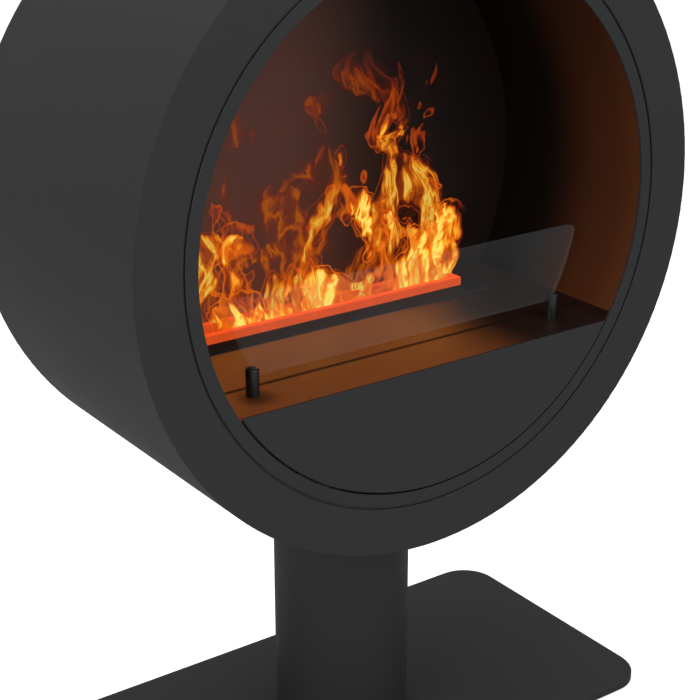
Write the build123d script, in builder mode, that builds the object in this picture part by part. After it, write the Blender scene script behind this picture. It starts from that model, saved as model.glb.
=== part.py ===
from build123d import *
from math import cos, radians, sin, sqrt
import os

# A round freestanding water vapour fireplace: a drum on a tube post and a flat base plate.
# Row frame: X to the right, Y to the back, Z up, origin under the middle of the base plate.

# Drum and its front
drum_radius = 400
drum_depth = 400
shell_wall = 3
face_thickness = 3
face_edge_radius = 0.8
front_ring_width = 59.1
ring_groove = 2.6
trim_ring_width = 16.3
fascia_gap = 2.2
fit_gap = 0.3
weld_gap = 0.2

# Firebox
liner_air_gap = 50
liner_wall = 2
liner_skirt = 24.5
firebox_depth = 285
floor_rise = 234.5
deck_thickness = 3
ledge_depth = 73
seam = 4
rail_flange = 41
rail_wall = 3

# Base and post
pad_height = 3
pad_radius = 20
pad_inset = 45
plate_thickness = 10
plate_width = 800
plate_depth = 400
plate_corner = 52
drum_clearance = 333
post_radius = 91
post_wall = 3
post_foot_thickness = 12
post_head_depth = 20
bolt_radius = 5
bolt_head_radius = 10
bolt_spacing = 100
saddle_side = 200
saddle_height = 25
bolt_head_height = 8

# Glass screen
glass_thickness = 6
glass_height = 95
glass_side_gap = 58
glass_corner = 8
glass_foot_corner = 2
holder_overhang = 4
holder_radius = 8
holder_height = 33
holder_slot_depth = 9
holder_setback = 52
small_screw_radius = 2.4
small_screw_head = 4.5
small_screw_head_height = 2.5
small_screw_length = 16

# Vapour insert
insert_setback = 185
frame_length = 474
frame_depth = 90
frame_height = 3
frame_corner = 3
frame_screw_setback = 20
lip_length = 418
lip_depth = 46
lip_wall = 9
lip_rise = 14.5
lip_sink = 6
lip_inset = 28
nozzle_thickness = 2
nozzle_slot_length = 376
nozzle_slot_width = 16
housing_length = 444
housing_depth = 68
housing_height = 100
housing_wall = 1.5
sump_length = 380
sump_depth = 50
sump_height = 38
sump_wall = 2
transducer_count = 6
transducer_radius = 12
transducer_height = 8
transducer_pitch = 60
led_length = 370
led_depth = 4
led_height = 9
led_chip_count = 24
fan_side = 60
fan_thickness = 25
fan_bore = 28
fan_hub_radius = 12
fan_blade_count = 7
fan_blade_clearance = 1.5
fan_strut = 3
fan_shaft_radius = 2
fan_drop = 50

# Water tank, controls and shelf
shelf_rise = 100
shelf_thickness = 2
shelf_front_gap = 15
shelf_back_gap = 20
rib_thickness = 4
rib_offset = 108
tank_length = 280
tank_depth = 130
tank_height = 75
tank_wall = 3
tank_centre_x = -50
tank_front_gap = 35
neck_radius = 18
neck_height = 8
neck_wall = 3
cap_radius = 24
cap_height = 12
cap_rib_count = 16
tap_radius = 7
tap_length = 20
tap_lever_length = 26
tap_rise = 15
tap_x = -110
float_radius = 14
float_height = 16
stem_radius = 3
stem_clearance = 0.1
float_x = -140
hose_radius = 6
hose_bore = 4
hose_rise = 50
box_length = 110
box_depth = 105
box_height = 70
box_wall = 2
box_centre_x = 165
button_radius = 7
button_length = 8
button_proud = 4
supply_length = 200
supply_depth = 80
supply_height = 32
supply_centre_x = -75

# Back of the drum
back_recess = 8
back_panel_thickness = 2
back_flange_width = 25
back_flange_thickness = 3
back_screw_count = 8
vent_length = 70
vent_width = 5
vent_pitch = 14
vent_rows = 5
vent_inset = 100
inlet_x = 60
switch_x = 130
inlet_rise = 55
inlet_width = 48
inlet_height = 28
inlet_body_width = 28
inlet_body_height = 20
inlet_body_depth = 25
inlet_flange = 3
switch_width = 30
switch_height = 22
switch_frame = 3
rocker_tilt = 7
rocker_clearance = 0.6

# Positions worked out from the sizes above
plate_top = pad_height + plate_thickness
drum_bottom = plate_top + drum_clearance
drum_centre = drum_bottom + drum_radius
front = -drum_depth / 2
back = drum_depth / 2
shell_inside = drum_radius - shell_wall
ring_inside = drum_radius - front_ring_width
trim_outside = ring_inside - ring_groove
trim_inside = trim_outside - trim_ring_width
fascia_radius = trim_inside - fascia_gap
liner_radius = shell_inside - liner_air_gap - liner_wall
floor_drop = drum_radius - floor_rise
floor = drum_centre - floor_drop
face_back = front + face_thickness
firebox_end = front + firebox_depth
holder_y = front + holder_setback
glass_side_radius = trim_inside - glass_side_gap
glass_bottom = floor + holder_height - holder_slot_depth + weld_gap
glass_bottom_half = sqrt(glass_side_radius**2 - (drum_centre - glass_bottom) ** 2)
holder_spacing = 2 * (glass_bottom_half + holder_overhang)
insert_front = front + insert_setback
insert_y = insert_front + frame_depth / 2
lip_front = insert_front + lip_inset
lip_y = lip_front + lip_depth / 2
carrier_back = face_back + face_thickness
shelf = drum_bottom + shelf_rise
shelf_drop = drum_radius - shelf_rise
inlet_drop = shelf_drop - inlet_rise
vent_drop = drum_radius - vent_inset
back_panel_back = back - back_recess
back_panel_front = back_panel_back - back_panel_thickness

os.makedirs("parts", exist_ok=True)


def save(part, name):
    part.label = name
    export_step(part, f"parts/{name}.step")


def across(y):
    """A plane square to the drum's axis at depth y, centred on that axis, facing the front."""
    return Plane(origin=(0, y, drum_centre), x_dir=(1, 0, 0), z_dir=(0, -1, 0))


def level(z):
    return Plane.XY.offset(z)


def ring_plate(outside, inside, y_front, thickness):
    with BuildPart() as plate:
        with BuildSketch(across(y_front + thickness)):
            Circle(outside)
            Circle(inside, mode=Mode.SUBTRACT)
        extrude(amount=thickness)
        fillet(plate.edges().group_by(Axis.Y)[0], face_edge_radius)
    return plate


def box_between(x, y, z, mode=Mode.ADD):
    """A box between pairs of X, Y and Z values."""
    with Locations(((x[0] + x[1]) / 2, (y[0] + y[1]) / 2, (z[0] + z[1]) / 2)):
        Box(x[1] - x[0], y[1] - y[0], z[1] - z[0], mode=mode)


def bolt_places():
    return GridLocations(bolt_spacing, bolt_spacing, 2, 2)


# Base plate: one flat steel plate with large round corners and four countersunk holes
bolt_hole = bolt_radius + fit_gap
sink_radius = bolt_head_radius + fit_gap
with BuildPart() as base_plate:
    with BuildSketch(level(pad_height)):
        RectangleRounded(plate_width, plate_depth, plate_corner)
    extrude(amount=plate_thickness)
    chamfer(base_plate.edges().group_by(Axis.Z)[-1], 0.8)
    with Locations(Plane(origin=(0, 0, pad_height), x_dir=(1, 0, 0), z_dir=(0, 0, -1))):
        with bolt_places():
            CounterSinkHole(bolt_hole, sink_radius, depth=plate_thickness, counter_sink_angle=90)
save(base_plate.part, "base_plate")

with BuildPart() as base_pads:
    with BuildSketch(level(0)):
        with GridLocations(plate_width - 2 * pad_inset, plate_depth - 2 * pad_inset, 2, 2):
            Circle(pad_radius)
    extrude(amount=pad_height)
save(base_pads.part, "base_pads")

base_bolt_top = plate_top + post_foot_thickness
head_cone = bolt_head_radius - bolt_radius
with BuildPart() as base_bolts:
    with Locations(level(pad_height)):
        with bolt_places():
            Cone(
                bolt_head_radius,
                bolt_radius,
                head_cone,
                align=(Align.CENTER, Align.CENTER, Align.MIN),
            )
            Cylinder(
                bolt_radius,
                base_bolt_top - pad_height,
                align=(Align.CENTER, Align.CENTER, Align.MIN),
            )
save(base_bolts.part, "base_bolts")

# Post: a round steel tube whose top is cut to the drum, with a foot disc and a head plug inside
post_inside = post_radius - post_wall
plug_radius = post_inside - weld_gap


# The drum's cylinder, as a cutter for what is shaped to it
with BuildPart() as drum_cutter:
    with BuildSketch(across(back)):
        Circle(drum_radius + weld_gap)
    extrude(amount=drum_depth)


with BuildPart() as post_tube:
    with BuildSketch(level(plate_top)):
        Circle(post_radius)
        Circle(post_inside, mode=Mode.SUBTRACT)
    extrude(amount=drum_clearance + post_radius)
    add(drum_cutter.part, mode=Mode.SUBTRACT)
save(post_tube.part, "post_tube")

with BuildPart() as post_foot:
    with BuildSketch(level(plate_top)):
        Circle(plug_radius)
        with bolt_places():
            Circle(bolt_radius + weld_gap, mode=Mode.SUBTRACT)
    extrude(amount=post_foot_thickness)
save(post_foot.part, "post_foot")

with BuildPart() as post_head:
    with BuildSketch(level(drum_bottom - post_head_depth)):
        Circle(plug_radius)
        with bolt_places():
            Circle(bolt_radius + weld_gap, mode=Mode.SUBTRACT)
    extrude(amount=post_head_depth + post_radius)
    add(drum_cutter.part, mode=Mode.SUBTRACT)
save(post_head.part, "post_head")

# Saddle block inside the drum, which the bolts clamp down on the shell and the post's head
saddle_top = drum_bottom + saddle_height
with BuildPart() as saddle_block:
    with BuildSketch(across(saddle_side / 2)):
        Circle(shell_inside - weld_gap)
        with Locations((0, saddle_height - 2 * drum_radius)):
            Rectangle(saddle_side, 2 * drum_radius, mode=Mode.INTERSECT)
    extrude(amount=saddle_side)
    with BuildSketch(level(drum_bottom)):
        with bolt_places():
            Circle(bolt_radius + weld_gap)
    extrude(amount=saddle_height + fit_gap, mode=Mode.SUBTRACT)
save(saddle_block.part, "saddle_block")

with BuildPart() as saddle_bolts:
    with BuildSketch(level(saddle_top)):
        with bolt_places():
            Circle(bolt_radius)
    extrude(amount=drum_bottom - post_head_depth - saddle_top)
    with BuildSketch(level(saddle_top)):
        with bolt_places():
            RegularPolygon(bolt_head_radius - 1, 6)
    extrude(amount=bolt_head_height)
save(saddle_bolts.part, "saddle_bolts")

# Drum: rolled shell with a flat front ring, then the narrow trim ring inside it
with BuildPart() as drum_shell:
    with BuildSketch(across(back)):
        Circle(drum_radius)
        Circle(shell_inside, mode=Mode.SUBTRACT)
    extrude(amount=drum_depth - face_thickness)
    with BuildSketch(level(drum_bottom - shell_wall)):
        with bolt_places():
            Circle(bolt_hole)
    extrude(amount=saddle_height, mode=Mode.SUBTRACT)
save(drum_shell.part, "drum_shell")

front_ring = ring_plate(drum_radius, ring_inside, front, face_thickness)
save(front_ring.part, "front_ring")

trim_ring = ring_plate(trim_outside, trim_inside, front, face_thickness)
save(trim_ring.part, "trim_ring")

carrier_outside = liner_radius - fit_gap
carrier_inside = trim_inside + ring_groove
ring_carrier = ring_plate(carrier_outside, carrier_inside, face_back, face_thickness)
save(ring_carrier.part, "ring_carrier")

# Firebox: a rolled liner over the deck, closed by a flat back
liner_outside = liner_radius + liner_wall
skirt_drop = floor_drop + liner_skirt


def keep_above(drop, reach):
    """Keeps of the open sketch what is above a level, drop under the drum's axis."""
    with Locations((0, reach - drop)):
        Rectangle(2 * reach, 2 * reach, mode=Mode.INTERSECT)


with BuildPart() as firebox_liner:
    with BuildSketch(across(firebox_end)):
        Circle(liner_outside)
        Circle(liner_radius, mode=Mode.SUBTRACT)
        keep_above(skirt_drop, drum_radius)
    extrude(amount=firebox_end - face_back)
save(firebox_liner.part, "firebox_liner")

with BuildPart() as firebox_back:
    with BuildSketch(across(firebox_end + liner_wall)):
        Circle(liner_outside)
        keep_above(skirt_drop, drum_radius)
    extrude(amount=liner_wall)
save(firebox_back.part, "firebox_back")

standoff_length = 30
standoff_count = 4
with BuildPart() as liner_standoffs:
    with BuildSketch(across(firebox_end - standoff_length / 2)):
        with PolarLocations(
            (liner_outside + shell_inside) / 2,
            standoff_count,
            start_angle=0,
            angular_range=180,
            endpoint=True,
        ):
            Rectangle(2 * (shell_inside - liner_outside), standoff_length)
        Circle(shell_inside - weld_gap, mode=Mode.INTERSECT)
        Circle(liner_outside + weld_gap, mode=Mode.SUBTRACT)
    extrude(amount=standoff_length)
save(liner_standoffs.part, "liner_standoffs")

# Firebox floor: a front ledge that carries the glass, and a rear deck round the vapour insert
deck_fit = liner_radius - weld_gap
ledge_end = front + ledge_depth
ledge_lip_height = 16.5
ledge_lip_width = 500


def holder_places():
    return GridLocations(holder_spacing, 1, 2, 1)


def deck_strip(radius, y_back, length):
    """A strip of the floor plate whose ends follow a radius about the drum's axis."""
    with BuildPart() as strip:
        with BuildSketch(across(y_back)):
            with Locations((0, -floor_drop - deck_thickness / 2)):
                Rectangle(2 * drum_radius, deck_thickness)
            Circle(radius, mode=Mode.INTERSECT)
        extrude(amount=length)
    return strip.part


ledge_strip = deck_strip(deck_fit, ledge_end, ledge_end - carrier_back - fit_gap)
ledge_nose_radius = carrier_inside - fit_gap
ledge_nose = deck_strip(ledge_nose_radius, carrier_back + fit_gap, carrier_back - face_back)
with BuildPart() as front_ledge:
    add(ledge_strip)
    add(ledge_nose)
    with BuildSketch(across(carrier_back + 2)):
        with Locations((0, -floor_drop - deck_thickness - ledge_lip_height / 2)):
            Rectangle(ledge_lip_width, ledge_lip_height)
    extrude(amount=2)
    with Locations((0, holder_y, floor - deck_thickness / 2)):
        with holder_places():
            Cylinder(small_screw_radius + fit_gap, deck_thickness, mode=Mode.SUBTRACT)
save(front_ledge.part, "front_ledge")

deck_opening_length = housing_length + 4
deck_opening_depth = housing_depth + 4
housing_y = lip_y
deck_rest = deck_strip(deck_fit, firebox_end, firebox_end - ledge_end - seam)
with BuildPart() as rear_deck:
    add(deck_rest)
    with Locations((0, housing_y, floor - deck_thickness / 2)):
        Box(deck_opening_length, deck_opening_depth, deck_thickness, mode=Mode.SUBTRACT)
save(rear_deck.part, "rear_deck")

rail_top = -floor_drop - deck_thickness
rail_outer = sqrt(deck_fit**2 - floor_drop**2)
for side, name in ((-1, "deck_rail_left"), (1, "deck_rail_right")):
    with BuildPart() as deck_rail:
        with BuildSketch(across(firebox_end)):
            Circle(deck_fit)
            Circle(deck_fit - rail_wall, mode=Mode.SUBTRACT)
            with Locations((side * (rail_outer - rail_flange / 2), rail_top - rail_wall / 2)):
                Rectangle(rail_flange, rail_wall)
            Circle(deck_fit, mode=Mode.INTERSECT)
            with Locations((side * rail_outer, (rail_top - skirt_drop) / 2)):
                Rectangle(2 * rail_flange, skirt_drop + rail_top, mode=Mode.INTERSECT)
        extrude(amount=firebox_end - carrier_back - fit_gap)
    save(deck_rail.part, name)

# Lower front cover: a round segment flush with the rings, held by magnets, pulls off forwards
magnet_radius = 7
magnet_inset = 14
magnet_ring = fascia_radius - magnet_inset
magnet_angles = (-125, -90, -55)
catch_width = 34
catch_length = 46
catch_thickness = 2
magnet_thickness = carrier_back - face_back - fit_gap
with BuildPart() as fascia_cover:
    with BuildSketch(across(face_back)):
        Circle(fascia_radius)
        with Locations((0, -floor_drop - drum_radius)):
            Rectangle(2 * drum_radius, 2 * drum_radius, mode=Mode.INTERSECT)
    extrude(amount=face_thickness)
    fillet(fascia_cover.edges().group_by(Axis.Y)[0], face_edge_radius)
save(fascia_cover.part, "fascia_cover")


def magnet_places():
    return Locations(
        [(magnet_ring * cos(radians(a)), magnet_ring * sin(radians(a))) for a in magnet_angles]
    )


with BuildPart() as fascia_magnets:
    with BuildSketch(across(face_back + magnet_thickness)):
        with magnet_places():
            Circle(magnet_radius)
        with Locations((0, -floor_drop - deck_thickness - ledge_lip_height / 2)):
            with GridLocations(ledge_lip_width * 0.7, 1, 2, 1):
                Circle(magnet_radius)
    extrude(amount=magnet_thickness)
save(fascia_magnets.part, "fascia_magnets")

with BuildPart() as fascia_catches:
    with BuildSketch(across(carrier_back + catch_thickness)):
        for angle in magnet_angles:
            with PolarLocations(carrier_inside - 10, 1, start_angle=angle):
                Rectangle(catch_length, catch_width)
    extrude(amount=catch_thickness)
save(fascia_catches.part, "fascia_catches")

# Glass screen: a pane in two slotted round holders, screwed from under the ledge
glass_top_drop = drum_centre - glass_bottom - glass_height
with BuildPart() as glass_pane:
    with BuildSketch(across(holder_y + glass_thickness / 2)):
        Circle(glass_side_radius)
        with Locations((0, -glass_top_drop - glass_height / 2)):
            Rectangle(2 * glass_side_radius, glass_height, mode=Mode.INTERSECT)
    extrude(amount=glass_thickness)
    lower_corners, upper_corners = glass_pane.edges().filter_by(Axis.Y).group_by(Axis.Z)
    fillet(upper_corners, glass_corner)
    fillet(lower_corners, glass_foot_corner)
    chamfer(glass_pane.edges().filter_by(GeomType.LINE).group_by(SortBy.LENGTH)[-1], 0.4)
save(glass_pane.part, "glass_pane")

slot_width = glass_thickness + 2 * fit_gap
screw_depth = small_screw_length - deck_thickness
for side, name in ((-1, "glass_holder_left"), (1, "glass_holder_right")):
    holder_x = side * holder_spacing / 2
    with BuildPart() as glass_holder:
        with Locations((holder_x, holder_y, floor)):
            Cylinder(
                holder_radius, holder_height, align=(Align.CENTER, Align.CENTER, Align.MIN)
            )
        fillet(glass_holder.edges().group_by(Axis.Z)[-1], 0.8)
        with Locations((holder_x, holder_y, floor + holder_height)):
            Box(
                2 * holder_radius,
                slot_width,
                holder_slot_depth,
                align=(Align.CENTER, Align.CENTER, Align.MAX),
                mode=Mode.SUBTRACT,
            )
        with Locations((holder_x, holder_y, floor)):
            Cylinder(
                small_screw_radius + 0.1,
                screw_depth + fit_gap,
                align=(Align.CENTER, Align.CENTER, Align.MIN),
                mode=Mode.SUBTRACT,
            )
    save(glass_holder.part, name)

with BuildPart() as holder_screws:
    with Locations((0, holder_y, floor - deck_thickness)):
        with holder_places():
            Cylinder(
                small_screw_radius,
                small_screw_length,
                align=(Align.CENTER, Align.CENTER, Align.MIN),
            )
            Cylinder(
                small_screw_head,
                small_screw_head_height,
                align=(Align.CENTER, Align.CENTER, Align.MAX),
            )
save(holder_screws.part, "holder_screws")

# Vapour insert: black frame on the deck, glowing lip round the slot, and what hangs below
frame_screw_inset = 12
frame_screw_x = frame_length / 2 - frame_screw_inset
with BuildPart() as insert_frame:
    box_between(
        (-frame_length / 2, frame_length / 2),
        (insert_front, insert_front + frame_depth),
        (floor, floor + frame_height),
    )
    fillet(insert_frame.edges().filter_by(Axis.Z), frame_corner)
    chamfer(insert_frame.edges().group_by(Axis.Z)[-1], 0.6)
    with Locations((0, lip_y, floor + frame_height / 2)):
        Box(
            lip_length + 2 * fit_gap,
            lip_depth + 2 * fit_gap,
            frame_height,
            mode=Mode.SUBTRACT,
        )
save(insert_frame.part, "insert_frame")

with BuildPart() as insert_screws:
    with Locations((0, insert_front + frame_screw_setback, floor + frame_height)):
        with GridLocations(2 * frame_screw_x, 1, 2, 1):
            Cylinder(2.5, 1.2, align=(Align.CENTER, Align.CENTER, Align.MIN))
save(insert_screws.part, "insert_screws")

with BuildPart() as glow_lip:
    with BuildSketch(level(floor - lip_sink)):
        with Locations((0, lip_y)):
            Rectangle(lip_length, lip_depth)
            Rectangle(lip_length - 2 * lip_wall, lip_depth - 2 * lip_wall, mode=Mode.SUBTRACT)
    extrude(amount=lip_sink + lip_rise)
    chamfer(glow_lip.edges().group_by(Axis.Z)[-1], 0.8)
save(glow_lip.part, "glow_lip")

lip_room_length = lip_length - 2 * lip_wall - 2 * fit_gap
lip_room_depth = lip_depth - 2 * lip_wall - 2 * fit_gap
with BuildPart() as nozzle_plate:
    with BuildSketch(level(floor - nozzle_thickness)):
        with Locations((0, lip_y)):
            Rectangle(lip_room_length, lip_room_depth)
            SlotOverall(nozzle_slot_length, nozzle_slot_width, mode=Mode.SUBTRACT)
    extrude(amount=nozzle_thickness)
save(nozzle_plate.part, "nozzle_plate")

led_y = lip_room_depth / 2 - led_depth / 2
with BuildPart() as led_strips:
    with Locations((0, lip_y, floor - nozzle_thickness - fit_gap)):
        with GridLocations(1, 2 * led_y, 1, 2):
            Box(led_length, led_depth, led_height, align=(Align.CENTER, Align.CENTER, Align.MAX))
    chip_y = led_y - led_depth / 2 - 0.5
    chip_z = floor - nozzle_thickness - fit_gap - led_height / 2
    with Locations((0, lip_y, chip_z)):
        with GridLocations(led_length / led_chip_count, 2 * chip_y, led_chip_count, 2):
            Box(5, 1, 5)
save(led_strips.part, "led_strips")

housing_bottom = floor - housing_height
fan_z = floor - fan_drop
hose_z = shelf + hose_rise
with BuildPart() as insert_housing:
    with Locations((0, housing_y, housing_bottom)):
        Box(
            housing_length,
            housing_depth,
            housing_height,
            align=(Align.CENTER, Align.CENTER, Align.MIN),
        )
    offset(
        amount=-housing_wall,
        openings=insert_housing.faces().sort_by(Axis.Z)[-1],
        kind=Kind.INTERSECTION,
    )
    with Locations((0, housing_y, fan_z)):
        Cylinder(
            fan_bore, 2 * housing_length, rotation=(0, 90, 0), mode=Mode.SUBTRACT
        )
    with Locations((0, housing_y - housing_depth / 2, hose_z)):
        Cylinder(hose_radius + fit_gap, 10, rotation=(90, 0, 0), mode=Mode.SUBTRACT)
save(insert_housing.part, "insert_housing")

sump_bottom = housing_bottom + housing_wall
with BuildPart() as sump_tray:
    with Locations((0, housing_y, sump_bottom)):
        Box(sump_length, sump_depth, sump_height, align=(Align.CENTER, Align.CENTER, Align.MIN))
    offset(
        amount=-sump_wall,
        openings=sump_tray.faces().sort_by(Axis.Z)[-1],
        kind=Kind.INTERSECTION,
    )
save(sump_tray.part, "sump_tray")

with BuildPart() as transducers:
    with Locations((0, housing_y, sump_bottom + sump_wall)):
        with GridLocations(transducer_pitch, 1, transducer_count, 1):
            Cylinder(
                transducer_radius,
                transducer_height,
                align=(Align.CENTER, Align.CENTER, Align.MIN),
            )
    chamfer(transducers.edges().group_by(Axis.Z)[-1], 1)
save(transducers.part, "transducers")

# Two small fans on the ends of the housing, each a frame with struts and a turning rotor
blade_tip = fan_bore - fan_blade_clearance
rotor_depth = fan_thickness - fan_strut - 3
for side, word in ((-1, "left"), (1, "right")):
    outside = Plane(
        origin=(side * housing_length / 2, housing_y, fan_z),
        x_dir=(0, 1, 0),
        z_dir=(side, 0, 0),
    )
    with BuildPart() as fan_frame:
        with BuildSketch(outside):
            RectangleRounded(fan_side, fan_side, 4)
            Circle(fan_bore, mode=Mode.SUBTRACT)
        extrude(amount=fan_thickness)
        with BuildSketch(outside.offset(fan_thickness - fan_strut)):
            Circle(fan_hub_radius)
            Rectangle(2 * fan_bore, 4)
            Rectangle(4, 2 * fan_bore)
            Circle(fan_bore + 0.5, mode=Mode.INTERSECT)
        extrude(amount=fan_strut)
        with BuildSketch(outside.offset(3)):
            Circle(fan_shaft_radius)
        extrude(amount=fan_thickness - 3 - fan_strut)
    save(fan_frame.part, f"fan_frame_{word}")
    with BuildPart() as fan_rotor:
        with BuildSketch(outside.offset(2)):
            Circle(fan_hub_radius)
            with PolarLocations(0, fan_blade_count):
                with Locations((blade_tip / 2, 0)):
                    Rectangle(blade_tip, 3)
            Circle(blade_tip, mode=Mode.INTERSECT)
            Circle(fan_shaft_radius + 0.05, mode=Mode.SUBTRACT)
        extrude(amount=rotor_depth)
    save(fan_rotor.part, f"fan_rotor_{word}")

# Shelf across the bottom of the drum, on two ribs that follow the shell
shelf_under = shelf_drop + shelf_thickness
shelf_half = sqrt((shell_inside - fit_gap) ** 2 - shelf_under**2)
with BuildPart() as lower_shelf:
    box_between(
        (-shelf_half, shelf_half),
        (front + shelf_front_gap, back - shelf_back_gap),
        (shelf - shelf_thickness, shelf),
    )
save(lower_shelf.part, "lower_shelf")

with BuildPart() as shelf_ribs:
    for y in (-rib_offset, rib_offset):
        with BuildSketch(across(y + rib_thickness / 2)):
            Circle(shell_inside - weld_gap)
            with Locations((0, -shelf_under - drum_radius)):
                Rectangle(2 * drum_radius, 2 * drum_radius, mode=Mode.INTERSECT)
        extrude(amount=rib_thickness)
save(shelf_ribs.part, "shelf_ribs")

# Water tank on the shelf, with lid, filler cap, drain tap, float and hose
tank_front = front + tank_front_gap
tank_y = tank_front + tank_depth / 2
tank_top = shelf + tank_height
filler_x = tank_centre_x
filler_y = tank_y - 15
with BuildPart() as water_tank:
    with Locations((tank_centre_x, tank_y, shelf)):
        Box(tank_length, tank_depth, tank_height, align=(Align.CENTER, Align.CENTER, Align.MIN))
    fillet(water_tank.edges().filter_by(Axis.Z), 8)
    offset(
        amount=-tank_wall,
        openings=water_tank.faces().sort_by(Axis.Z)[-1],
        kind=Kind.INTERSECTION,
    )
save(water_tank.part, "water_tank")

with BuildPart() as tank_lid:
    with BuildSketch(level(tank_top)):
        with Locations((tank_centre_x, tank_y)):
            RectangleRounded(tank_length, tank_depth, 8)
    extrude(amount=tank_wall)
    with BuildSketch(level(tank_top + tank_wall)):
        with Locations((filler_x, filler_y)):
            Circle(neck_radius)
    extrude(amount=neck_height)
    with Locations((filler_x, filler_y, tank_top)):
        Cylinder(
            neck_radius - neck_wall,
            tank_wall + neck_height,
            align=(Align.CENTER, Align.CENTER, Align.MIN),
            mode=Mode.SUBTRACT,
        )
save(tank_lid.part, "tank_lid")

cap_bottom = tank_top + tank_wall + fit_gap
with BuildPart() as filler_cap:
    with BuildSketch(level(cap_bottom)):
        with Locations((filler_x, filler_y)):
            Circle(cap_radius)
            with PolarLocations(cap_radius, cap_rib_count):
                Circle(1.5)
    extrude(amount=cap_height)
    with Locations((filler_x, filler_y, cap_bottom)):
        Cylinder(
            neck_radius + fit_gap,
            neck_height + fit_gap,
            align=(Align.CENTER, Align.CENTER, Align.MIN),
            mode=Mode.SUBTRACT,
        )
save(filler_cap.part, "filler_cap")

tap_z = shelf + tap_rise
tap_plane = Plane(origin=(tap_x, tank_front, tap_z), x_dir=(1, 0, 0), z_dir=(0, -1, 0))
tap_pin_radius = 3
tap_pin_length = 6
with BuildPart() as drain_tap:
    with BuildSketch(tap_plane):
        Circle(tap_radius)
    extrude(amount=tap_length - tap_pin_length)
    with BuildSketch(tap_plane.offset(tap_length - tap_pin_length)):
        Circle(tap_pin_radius)
    extrude(amount=tap_pin_length)
save(drain_tap.part, "drain_tap")

with BuildPart() as drain_lever:
    with BuildSketch(tap_plane.offset(tap_length - tap_pin_length + fit_gap)):
        Circle(tap_radius - 1)
        with Locations((tap_lever_length / 2, 0)):
            Rectangle(tap_lever_length, 6)
        with Locations((tap_lever_length, 0)):
            Circle(3)
        Circle(tap_pin_radius + 0.05, mode=Mode.SUBTRACT)
    extrude(amount=tap_pin_length - 2 * fit_gap)
save(drain_lever.part, "drain_lever")

float_bottom = shelf + tank_wall
with BuildPart() as float_stem:
    with Locations((float_x, tank_y, float_bottom)):
        Cylinder(
            stem_radius,
            tank_height - tank_wall,
            align=(Align.CENTER, Align.CENTER, Align.MIN),
        )
save(float_stem.part, "float_stem")

with BuildPart() as tank_float:
    with BuildSketch(level(float_bottom + fit_gap)):
        with Locations((float_x, tank_y)):
            Circle(float_radius)
            Circle(stem_radius + stem_clearance, mode=Mode.SUBTRACT)
    extrude(amount=float_height)
    chamfer(tank_float.edges().filter_by(GeomType.CIRCLE).group_by(SortBy.LENGTH)[-1], 2)
save(tank_float.part, "tank_float")

tank_rear = tank_front + tank_depth
sump_front = housing_y - sump_depth / 2
with BuildPart() as feed_hose:
    with BuildSketch(Plane(origin=(0, sump_front, hose_z), x_dir=(1, 0, 0), z_dir=(0, -1, 0))):
        Circle(hose_radius)
        Circle(hose_bore, mode=Mode.SUBTRACT)
    extrude(amount=sump_front - tank_rear)
save(feed_hose.part, "feed_hose")

# Control box with its push button, and the power supply at the back
box_y = tank_front + box_depth / 2
button_z = shelf + box_height / 2
with BuildPart() as control_box:
    with Locations((box_centre_x, box_y, shelf)):
        Box(box_length, box_depth, box_height, align=(Align.CENTER, Align.CENTER, Align.MIN))
    fillet(control_box.edges().filter_by(Axis.Z), 4)
    with Locations((box_centre_x, box_y, shelf + box_wall)):
        Box(
            box_length - 2 * box_wall,
            box_depth - 2 * box_wall,
            box_height - 2 * box_wall,
            align=(Align.CENTER, Align.CENTER, Align.MIN),
            mode=Mode.SUBTRACT,
        )
    with Locations((box_centre_x, tank_front, button_z)):
        Cylinder(button_radius + fit_gap, 4 * box_wall, rotation=(90, 0, 0), mode=Mode.SUBTRACT)
save(control_box.part, "control_box")

with BuildPart() as standby_button:
    with BuildSketch(
        Plane(
            origin=(box_centre_x, tank_front - button_proud + button_length, button_z),
            x_dir=(1, 0, 0),
            z_dir=(0, -1, 0),
        )
    ):
        Circle(button_radius)
    extrude(amount=button_length)
    chamfer(standby_button.edges().group_by(Axis.Y)[0], 0.8)
save(standby_button.part, "standby_button")

supply_y = back_panel_front - 15 - supply_depth / 2
with BuildPart() as power_supply:
    with Locations((supply_centre_x, supply_y, shelf)):
        Box(
            supply_length,
            supply_depth,
            supply_height,
            align=(Align.CENTER, Align.CENTER, Align.MIN),
        )
    chamfer(power_supply.edges().group_by(Axis.Z)[-1], 2)
save(power_supply.part, "power_supply")

# Back: a recessed round panel on a flange, with vents, mains inlet and rocker switch
flange_inside = shell_inside - back_flange_width
screw_circle = shell_inside - back_flange_width / 2
flange_front = back_panel_front - back_flange_thickness


def back_screw_places():
    return PolarLocations(screw_circle, back_screw_count, start_angle=180 / back_screw_count)


with BuildPart() as back_flange:
    with BuildSketch(across(back_panel_front)):
        Circle(shell_inside - weld_gap)
        Circle(flange_inside, mode=Mode.SUBTRACT)
        with back_screw_places():
            Circle(small_screw_radius + 0.1, mode=Mode.SUBTRACT)
    extrude(amount=back_flange_thickness)
save(back_flange.part, "back_flange")

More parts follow.
